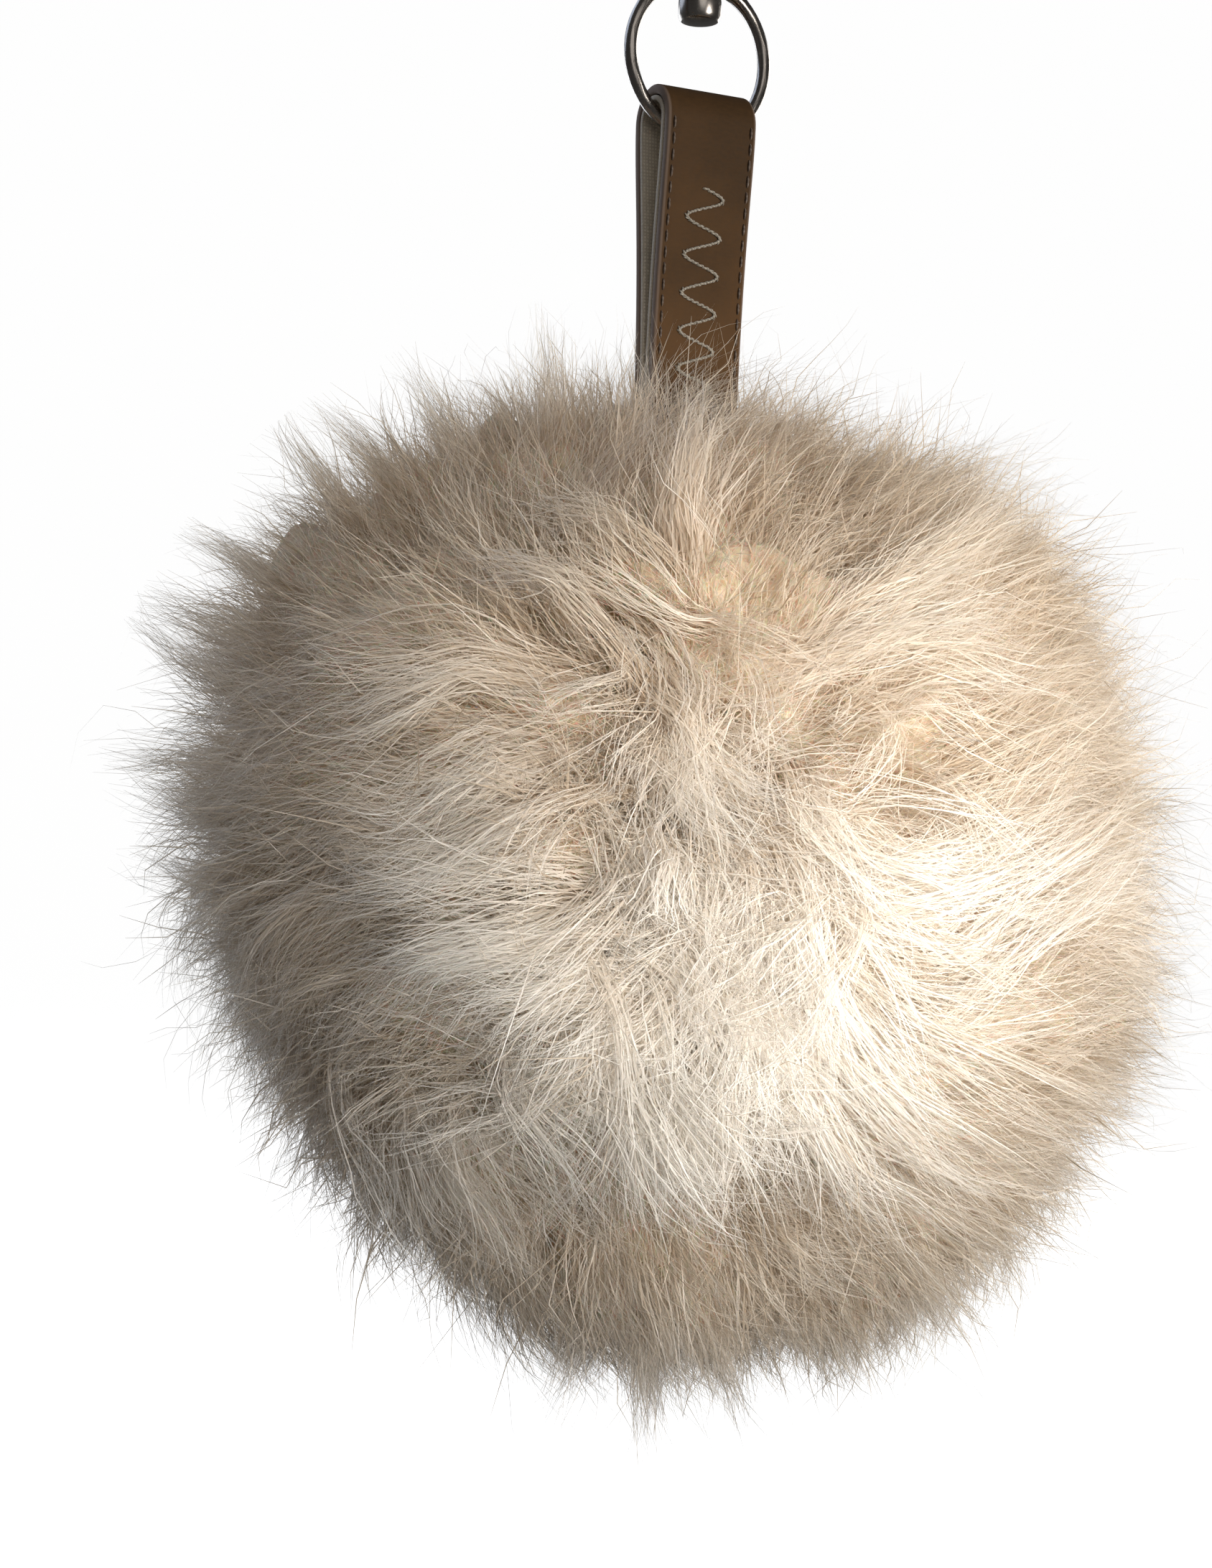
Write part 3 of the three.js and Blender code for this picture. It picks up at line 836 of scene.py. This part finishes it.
def ribbon_mesh(name, points, width, tones, seed):
    """One mesh of thin ribbons. The UV map holds each hair's tone and the way along it."""
    source = np.random.default_rng(seed)
    count, steps = points.shape[:2]
    tangent = unit(np.gradient(points, axis=1))
    outward = unit(points)
    sideways = unit(np.cross(tangent, outward) + 1e-9)
    lift = np.cross(sideways, tangent)
    roll = source.normal(scale=0.45, size=(count, 1, 1))
    turn = roll + np.linspace(-0.3, 0.3, steps)[None, :, None] * source.normal(size=(count, 1, 1))
    edge = sideways * np.cos(turn) + lift * np.sin(turn)
    share = np.linspace(0, 1, steps)
    taper = np.minimum(1, (1 - share) * 2.2 + 0.12)
    half = (width[:, None] * taper)[..., None] / 2
    corners = np.stack([points + edge * half, points - edge * half], 2) + np.array(BALL_CENTRE)
    vertices = corners.reshape(-1, 3)
    first = np.arange(count)[:, None] * steps * 2 + np.arange(steps - 1)[None] * 2
    quads = np.stack([first, first + 1, first + 3, first + 2], -1).reshape(-1, 4)
    mesh = bpy.data.meshes.new(name)
    mesh.vertices.add(len(vertices))
    mesh.vertices.foreach_set("co", vertices.astype(np.float32).ravel())
    mesh.loops.add(quads.size)
    mesh.loops.foreach_set("vertex_index", quads.astype(np.int32).ravel())
    mesh.polygons.add(len(quads))
    mesh.polygons.foreach_set("loop_start", np.arange(len(quads), dtype=np.int32) * 4)
    mesh.polygons.foreach_set("use_smooth", np.ones(len(quads), bool))
    uv = np.zeros((count, steps, 2, 2), np.float32)
    uv[..., 0] = tones[:, None, None]
    uv[..., 1] = share[None, :, None]
    layer = mesh.uv_layers.new(name="strand")
    layer.data.foreach_set("uv", uv.reshape(-1, 2)[quads.ravel()].ravel())
    mesh.update(calc_edges=True)
    return add_object(name, mesh)


# %% [markdown]
# The hair is translucent, so part of each ribbon's light goes through it. Roots are tan, the
# middle is cream and the tips are ivory; the darker roots are partly painted shade for the gaps.
# Slow noise over the ball makes warmer and paler patches, and the upper part is a little warmer
# than the rest.

# %% Fur finish
TONE_STOPS = ((0.1, (0.68, 0.61, 0.52)), (0.5, (0.90, 0.87, 0.83)), (0.9, (1.04, 1.04, 1.04)))


def fur_finish(name, root, middle, tip, clear=0.4):
    finish = Finish(name)
    strand = finish.node("UVMap", {"uv_map": "strand"})
    tone = finish.part(strand, 0)
    patch = finish.noise(40, 3.0)
    depth = finish.part(strand, 1) + (patch - 0.5) * 0.8
    # Painted shade: each hair is painted darker toward its root, partly its own tan and partly shade
    # between hairs.
    colour = finish.ramp(depth, (0.05, root), (0.40, middle), (0.85, tip))
    pale = finish.ramp(tone, *TONE_STOPS)
    colour = finish.mix(1.0, colour, pale, "MULTIPLY")
    height = finish.part(finish.place(), 2) + (patch - 0.5) * (30 * MM)
    warmth = finish.fade(height, BALL_CENTRE.z + 5 * MM, BALL_CENTRE.z + 50 * MM)
    colour = finish.mix(warmth, colour, finish.mix(1.0, colour, (0.98, 0.93, 0.86), "MULTIPLY"))
    gloss = {"Base Color": colour, "Roughness": 0.20 + 0.26 * tone, "Specular IOR Level": 0.6}
    shader = finish.node("BsdfPrincipled", None, gloss)
    through = finish.node("BsdfTranslucent", None, {"Color": colour})
    finish.finish(finish.node("MixShader", None, {0: clear, 1: shader, 2: through}))
    return finish


cream_fur = fur_finish("cream_fur", (0.58, 0.45, 0.32), (0.85, 0.77, 0.66), (0.97, 0.94, 0.89))
# The paler fur for the top and veil locks is partly paler hair and partly a painted highlight.
pale_highlight_fur = fur_finish("pale_highlight_fur", (0.70, 0.59, 0.46), (0.94, 0.89, 0.82), (0.99, 0.98, 0.95))
soft_fur = fur_finish("soft_fur", (0.60, 0.47, 0.34), (0.80, 0.70, 0.57), (0.91, 0.84, 0.74), 0.5)

# %% [markdown]
# The long coat is made in eight sectors, so that no piece is too heavy. Hair that would pass
# through the strap is laid against its nearer face.

# %% Fur on the ball
HAIR_WIDTH = 0.10 * MM
LOCKS = 1500
HAIRS_PER_LOCK = 42
HAIR_STEPS = 9
SECTORS = 8


def clear_of_strap(points):
    """Moves hair that would pass through the strap to the strap's nearer face."""
    half_depth = strap_half_depth(points[..., 2] + BALL_CENTRE.z) + 0.4 * MM
    inside = np.abs(points[..., 0]) < STRAP_WIDTH / 2 + 0.5 * MM
    inside &= np.abs(points[..., 1]) < half_depth
    inside &= points[..., 2] + BALL_CENTRE.z > STRAP_END
    sign = np.where(points[..., 1] < 0, -1, 1)
    points[..., 1] = np.where(inside, sign * half_depth, points[..., 1])
    return points


def near_strap(points):
    """True for each hair that the strap would sweep through as the ball sways."""
    height = points[..., 2] + BALL_CENTRE.z
    above = height - SWAY_PIVOT.z
    half_depth = strap_half_depth(height) + above * SWAY_SLOPE + 1 * MM
    close = (above > 0) & (np.abs(points[..., 0]) < STRAP_WIDTH / 2 + 1.5 * MM)
    close &= np.abs(points[..., 1]) < half_depth
    return close.any(1)


collar = []


def fur_piece(name, hairs, seed, finish=cream_fur, width=HAIR_WIDTH, darkest=0.0):
    """One piece of fur that moves with the ball. Hair round the strap is put by for the collar."""
    points, tone = hairs
    tone = darkest + (1 - darkest) * tone
    points = clear_of_strap(points)
    breadth = width * np.random.default_rng(seed + 1).uniform(0.6, 1.4, len(points))
    near = near_strap(points)
    if near.any():
        part = ribbon_mesh(name + "_collar", points[near], breadth[near], tone[near], seed + 3)
        collar.append(paint(part, cream_fur))
    piece = ribbon_mesh(name, points[~near], breadth[~near], tone[~near], seed + 2)
    paint(piece, finish)
    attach(piece, "pompom")
    print(name, len(points), "hairs,", len(piece.data.polygons) * 2, "triangles")
    return piece


roots = even_directions(LOCKS)
guides = grow(roots, RANDOM.uniform(24, 50, LOCKS) * MM)
guide_turn = np.arctan2(guides[:, 0, 1], guides[:, 0, 0])
guides = guides[np.argsort(guide_turn)]
for number, part in enumerate(np.array_split(guides, SECTORS)):
    hairs = hairs_round(part, HAIRS_PER_LOCK, HAIR_STEPS, 100 + number)
    piece = fur_piece(f"fur_sector_{number + 1}", hairs, 200 + 10 * number)
    if number == 0:
        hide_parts("fur")

# %% [markdown]
# Between the long locks stands a softer and shorter coat of wider hairs, ruffled in all directions.

# %% Soft short coat
COAT_LOCKS = 2600
COAT_HAIRS = 16
coat_roots = even_directions(COAT_LOCKS)
coat = grow(coat_roots, RANDOM.uniform(8, 22, COAT_LOCKS) * MM, extra_height=-2 * MM, stray=45.0)
for number, part in enumerate(np.array_split(coat, 3)):
    hairs = hairs_round(
        part, COAT_HAIRS, 6, 300 + number, gather=0.0, drift=5.0, frizz=0.8, lift_tips=2.6
    )
    fur_piece(f"soft_coat_{number + 1}", hairs, 330 + 10 * number, soft_fur, 0.16 * MM)

# %% [markdown]
# A few long locks lie over the rest where the fur parts, and give the ball its own look. Each is
# drawn as four points on the ball, by their right and up shares of its radius. Smaller
# locks veil the parting.

# %% Top locks
TOP_LOCKS = [
    (0.10, 0.20, 0.20, 0.02, 0.24, -0.20, 0.26, -0.40),
    (0.16, -0.02, 0.26, -0.22, 0.42, -0.42, 0.60, -0.56),
    (0.18, -0.12, 0.24, -0.34, 0.33, -0.50, 0.48, -0.68),
    (-0.08, 0.36, 0.02, 0.26, 0.10, 0.12, 0.20, 0.02),
    (-0.20, 0.34, -0.34, 0.30, -0.50, 0.18, -0.62, 0.10),
    (-0.10, 0.22, -0.30, 0.14, -0.48, 0.02, -0.66, 0.00),
    (0.05, -0.02, -0.20, -0.04, -0.42, -0.10, -0.62, -0.16),
    (0.10, -0.14, -0.16, -0.12, -0.40, -0.16, -0.56, -0.32),
    (0.08, -0.22, -0.12, -0.18, -0.28, -0.20, -0.38, -0.34),
    (-0.36, -0.24, -0.26, -0.36, -0.12, -0.50, 0.02, -0.62),
    (-0.20, -0.26, -0.08, -0.36, 0.04, -0.50, 0.14, -0.66),
    (-0.52, -0.30, -0.42, -0.42, -0.28, -0.56, -0.12, -0.68),
    (-0.44, -0.40, -0.34, -0.52, -0.20, -0.64, -0.04, -0.74),
    (-0.10, -0.20, 0.02, -0.32, 0.12, -0.46, 0.20, -0.62),
    (-0.58, -0.36, -0.52, -0.50, -0.42, -0.62, -0.28, -0.74),
    (-0.12, 0.14, -0.03, 0.05, 0.06, -0.05, 0.13, -0.16),
    (-0.04, -0.02, 0.05, -0.10, 0.13, -0.20, 0.20, -0.31),
    (0.06, 0.14, 0.10, 0.02, 0.08, -0.10, 0.02, -0.22),
    (0.14, -0.06, 0.15, -0.19, 0.12, -0.32, 0.06, -0.44),
    (0.24, 0.24, 0.24, 0.12, 0.29, 0.01, 0.36, -0.08),
    (-0.02, -0.16, 0.07, -0.26, 0.18, -0.34, 0.30, -0.38),
    (0.34, -0.26, 0.52, -0.16, 0.70, -0.02, 0.86, 0.16),
    (0.22, -0.02, 0.42, 0.04, 0.62, 0.12, 0.80, 0.24),
    (0.20, 0.44, 0.36, 0.54, 0.50, 0.62, 0.64, 0.70),
    (0.10, 0.38, 0.28, 0.42, 0.48, 0.46, 0.66, 0.48),
    (0.02, 0.50, 0.00, 0.62, 0.03, 0.74, 0.08, 0.84),
    (-0.04, 0.48, -0.16, 0.56, -0.30, 0.60, -0.44, 0.64),
]
VEIL_LOCKS = 70


def veil_drawings():
    """Many small locks that fall loosely across the middle, where the fur parts."""
    drawings = []
    for _ in range(VEIL_LOCKS):
        start = Vector((RANDOM.uniform(-0.18, 0.36), RANDOM.uniform(-0.35, 0.50)))
        turn = math.radians(RANDOM.normal(-75, 50))
        bend = math.radians(RANDOM.normal(0, 25))
        reach = RANDOM.uniform(0.10, 0.17)
        drawing = [tuple(start)]
        for _ in range(3):
            start = start + Vector((math.cos(turn), math.sin(turn))) * reach
            drawing.append(tuple(start))
            turn += bend
        drawings.append(drawing)
    return drawings


TOP_HAIRS = 200
VEIL_HAIRS = 60


def lock_paths(drawings):
    """The paths of drawn locks on the fur's surface, rising from below it at the root."""
    drawn = np.array(drawings).reshape(len(drawings), -1, 2)
    place = np.linspace(0, drawn.shape[1] - 1.001, GUIDE_STEPS)
    low = place.astype(int)
    part = (place - low)[None, :, None]
    part = part * part * (3 - 2 * part) * 0.5 + part * 0.5
    flat = drawn[:, low] * (1 - part) + drawn[:, low + 1] * part
    facing = np.sqrt(np.clip(1 - (flat**2).sum(-1, keepdims=True), 0.02, 1))
    directions = unit(np.concatenate([flat, facing], -1) @ VIEW)
    share = np.linspace(0, 1, GUIDE_STEPS)
    height = (3.2 - 14 * (1 - share) ** 2.5) * MM
    return directions * (surface_radius(directions) + height)[..., None]


top_paths = lock_paths(TOP_LOCKS)
top_hairs = hairs_round(top_paths, TOP_HAIRS, 12, 400, spread=3.4, frizz=0.6, depth=2.0, layering=1.0)
# Painted highlight: the top locks are paler and raised in tone, partly paler hair and partly painted
# highlight.
fur_piece("top_locks", top_hairs, 410, pale_highlight_fur, width=0.11 * MM, darkest=0.4)
veil_paths = lock_paths(veil_drawings())
veil_hairs = hairs_round(veil_paths, VEIL_HAIRS, 10, 420, spread=3.0, gather=0.0, drift=5.0)
fur_piece("veil_locks", veil_hairs, 430, pale_highlight_fur, width=0.11 * MM, darkest=0.2)

# %% [markdown]
# Pointed tufts break the outline, most of all at the upper left, where the fur is ruffled up.

# %% Outline tufts
# Each tuft: its angle on the outline in degrees, its height over the surface and its lean in mm.
TUFTS = [
    (97, 7, -4), (107, 11, -5), (117, 12, 4), (125, 13, 7), (134, 14, -4), (143, 16, 6), (151, 12, 5),
    (158, 14, -4), (166, 11, 5), (175, 9, -5), (184, 8, -8), (194, 4, -6), (262, 10, -5), (268, 13, 4),
    (276, 7, 5), (288, 8, 8), (300, 4, 8), (322, 4, 9), (345, 3, 10), (6, 3, 11), (18, 4, 11),
    (30, 4, 10), (42, 4, 9), (52, 5, 7), (62, 5, 6), (72, 4, 5),
]
TUFT_HAIRS = 130
TUFT_ROOT = 50  # mm from the ball's centre


def tuft_paths(tufts, facing):
    """Paths that leave the ball's side straight out and lean along its outline, toward the camera
    by this facing share."""
    table = np.array(tufts, float)
    angle = np.radians(table[:, 0])
    flat = np.stack([np.cos(angle), np.sin(angle), np.full(len(tufts), facing)], -1)
    out = unit(flat @ VIEW)
    around = np.stack([-np.sin(angle), np.cos(angle), np.zeros(len(tufts))], -1) @ VIEW
    share = np.linspace(0, 1, GUIDE_STEPS)[None, :, None]
    reach = (surface_radius(out) / MM + table[:, 1])[:, None, None] - TUFT_ROOT
    path = out[:, None] * (TUFT_ROOT + reach * share)
    path = path + around[:, None] * table[:, 2][:, None, None] * share**2
    return path * MM


tufts = np.concatenate([tuft_paths(TUFTS, facing) for facing in (-0.15, 0.10, 0.40)])
tuft_hairs = hairs_round(
    tufts, TUFT_HAIRS, 8, 450, spread=4.2, gather=0.85, drift=1.6, frizz=0.7, depth=1.6, layering=1.0
)
fur_piece("outline_tufts", tuft_hairs, 460, width=0.12 * MM)

# %% [markdown]
# Loose ends stand out from the outline: single long hairs, more bent than the rest.

# %% Loose ends
LOOSE_LOCKS = 1300
loose_roots = even_directions(LOOSE_LOCKS)
loose = grow(loose_roots, RANDOM.uniform(14, 38, LOOSE_LOCKS) * MM, 1.9, extra_height=1.5 * MM)
loose_hairs = hairs_round(
    loose, 4, 11, 500, spread=3.5, gather=0.0, drift=6.0, frizz=0.9, depth=2.0, lift_tips=2.8, shortest=0.7
)
fur_piece("loose_ends", loose_hairs, 510, width=0.09 * MM, darkest=0.3)

# %% [markdown]
# The hair that touches the strap must part and close as the ball sways. Here it is joined into
# one piece.

# %% Fur collar round the strap
deselect()
for part in collar:
    part.select_set(True)
bpy.context.view_layer.objects.active = collar[0]
bpy.ops.object.join()
fur_collar = bpy.context.view_layer.objects.active
fur_collar.name = "fur_collar"
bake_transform(fur_collar)
print("collar triangles:", len(fur_collar.data.polygons) * 2)

# %% [markdown]
# Beneath the long hair is dense soft down, like cotton wool. It is a ball with ridges drawn out
# along the comb, just under the long hair, so that it shows through every gap. Light goes a little
# way into it, which keeps its shadows soft.

# %% Underfur
DOWN_DEPTH = 8.5 * MM
FUNNEL_HALF_DEPTH = 3.5 * MM
DEEPEST, HIGHEST = -5.5, 3.0  # mm from the down's own surface


def round_strap(points):
    """Presses the down's top into a funnel, in which the strap has room to sway."""
    x, y, z = points.T
    room = np.abs(y) - FUNNEL_HALF_DEPTH
    funnel = np.where(room < 0, STRAP_END - 3 * MM, SWAY_PIVOT.z + room / SWAY_SLOPE)
    beside = np.clip((np.abs(x) - STRAP_WIDTH / 2 - 1.5 * MM) / (2 * MM), 0, 1)
    pressed = np.minimum(z, funnel * (1 - beside) + z * beside)
    return np.stack([x, y, np.where(z > BALL_CENTRE.z, pressed, z)], -1)


deselect()
bpy.ops.mesh.primitive_ico_sphere_add(subdivisions=7, radius=1, location=(0, 0, 0))
underfur = bpy.context.object
underfur.name = "underfur"
shell = np.zeros(len(underfur.data.vertices) * 3, np.float32)
underfur.data.vertices.foreach_get("co", shell)
shell = unit(shell.reshape(-1, 3).astype(float))
lie = flow(shell)
ridges = np.zeros(len(shell))
for reach in np.linspace(-0.22, 0.22, 9):
    ridges += swirl(unit(shell + lie * reach), 15.0, 62)[:, 0] / 5
lumps = swirl(shell, 5.0, 61)[:, 0] * 1.8 + ridges * 2.2
lumps = np.clip(lumps, DEEPEST, HIGHEST) * MM
shell = shell * (surface_radius(shell) - DOWN_DEPTH + lumps)[:, None] + np.array(BALL_CENTRE)
shell = round_strap(shell)
underfur.data.vertices.foreach_set("co", shell.astype(np.float32).ravel())
underfur.data.update()
bpy.ops.object.shade_smooth()
under_finish = Finish("underfur")
matted = under_finish.noise(900, 4.0, 0.6, distortion=1.0)
# Painted shade: the down is a darker tan than the long hair, partly its own tone and partly painted shade
# for the gaps.
shade = under_finish.ramp(matted, (0.3, (0.54, 0.41, 0.27)), (0.7, (0.80, 0.69, 0.54)))
under_finish.shade(
    base_color=shade,
    roughness=0.95,
    specular_ior_level=0.1,
    subsurface_weight=0.6,
    subsurface_scale=3 * MM,
    normal=under_finish.bump(matted, 0.5 * MM),
)
paint(underfur, under_finish)
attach(underfur, "pompom")

# %% [markdown]
# The studio is a large pale bowl with a flat floor, and soft lamps. A warm spot with a soft edge
# stands to the right of the camera and does the most, with a warm key lamp farther right. The left
# gets mostly cool light from above, so it falls into shade. Two lamps behind light the back.

# %% Stage and lights
def lamp(name, place, size, power, colour, target=BALL_CENTRE, cone=None):
    """A soft lamp at this right, up and facing place. With a cone it is a soft-edged spot."""
    data = bpy.data.lights.new(name, "SPOT" if cone else "AREA")
    if cone:
        data.spot_size = cone
        data.spot_blend = 1.0
        data.shadow_soft_size = size / 2
    else:
        data.shape = "DISK"
        data.size = size
    data.energy = power
    data.color = colour
    made = add_object(name, data)
    spot = Vector(target) + view_right * place[0] + view_up * place[1] + toward * place[2]
    made.location = spot
    made.rotation_mode = "QUATERNION"
    made.rotation_quaternion = (Vector(target) - spot).to_track_quat("-Z", "Y")


lamp("key_lamp", (0.36, 0.02, 0.30), 0.18, 1.5, (1.0, 0.955, 0.90))
spot_target = BALL_CENTRE + view_right * 1 * MM - view_up * 1 * MM
lamp("spot_lamp", (0.16, 0.01, 0.44), 0.08, 14.5, (1.0, 0.96, 0.91), spot_target, math.radians(15))
lamp("front_lamp", (0.20, 0.25, 0.75), 0.5, 0.8, (1.0, 0.97, 0.93))
lamp("sky_lamp", (-0.40, 0.42, -0.15), 0.5, 1.2, (0.66, 0.78, 1.0))
lamp("back_lamp", (0.45, 0.20, -0.70), 0.6, 4.0, (1.0, 0.98, 0.95))
lamp("rear_left_lamp", (-0.46, 0.12, -0.72), 0.6, 3.2, (0.88, 0.93, 1.0))

FLOOR_HEIGHT = cad_low.z - 0.16
BOWL_RADIUS, BOWL_HEIGHT, BOWL_STEPS = 5.0, 3.9, 12
deselect()
rim = (0, 0, FLOOR_HEIGHT + BOWL_HEIGHT)
bpy.ops.mesh.primitive_circle_add(vertices=96, radius=BOWL_RADIUS, fill_type="NGON", location=rim)
floor = bpy.context.object
floor.name = "floor"
bpy.ops.object.mode_set(mode="EDIT")
for level in range(BOWL_STEPS, 0, -1):
    drop = BOWL_HEIGHT * level / sum(range(BOWL_STEPS + 1))
    bpy.ops.mesh.extrude_region_move(TRANSFORM_OT_translate={"value": (0, 0, -drop)})
    narrower = 1 / (1 + 0.45 / level**0.9)
    bpy.ops.transform.resize(value=(narrower, narrower, 1), center_override=(0, 0, 0))
object_mode()
bpy.ops.object.transform_apply(location=True, rotation=True, scale=True)
bpy.ops.object.shade_smooth()
floor_finish = Finish("pale_floor")
speckle = floor_finish.noise(6, 3.0)
floor_colour = floor_finish.ramp(speckle, (0.3, (0.20, 0.20, 0.20)), (0.7, (0.22, 0.22, 0.22)))
glow = (0.97, 0.97, 0.97, 1)
floor_finish.shade(base_color=floor_colour, roughness=0.9, emission_color=glow, emission_strength=1.0)
paint(floor, floor_finish)
for ray in ("diffuse", "glossy", "transmission", "shadow"):
    setattr(floor, "visible_" + ray, False)

world = bpy.data.worlds.new("studio")
bpy.context.scene.world = world
world.use_nodes = True
sky = world.node_tree.nodes["Background"].inputs
sky["Color"].default_value = (0.66, 0.65, 0.64, 1)
sky["Strength"].default_value = 0.13
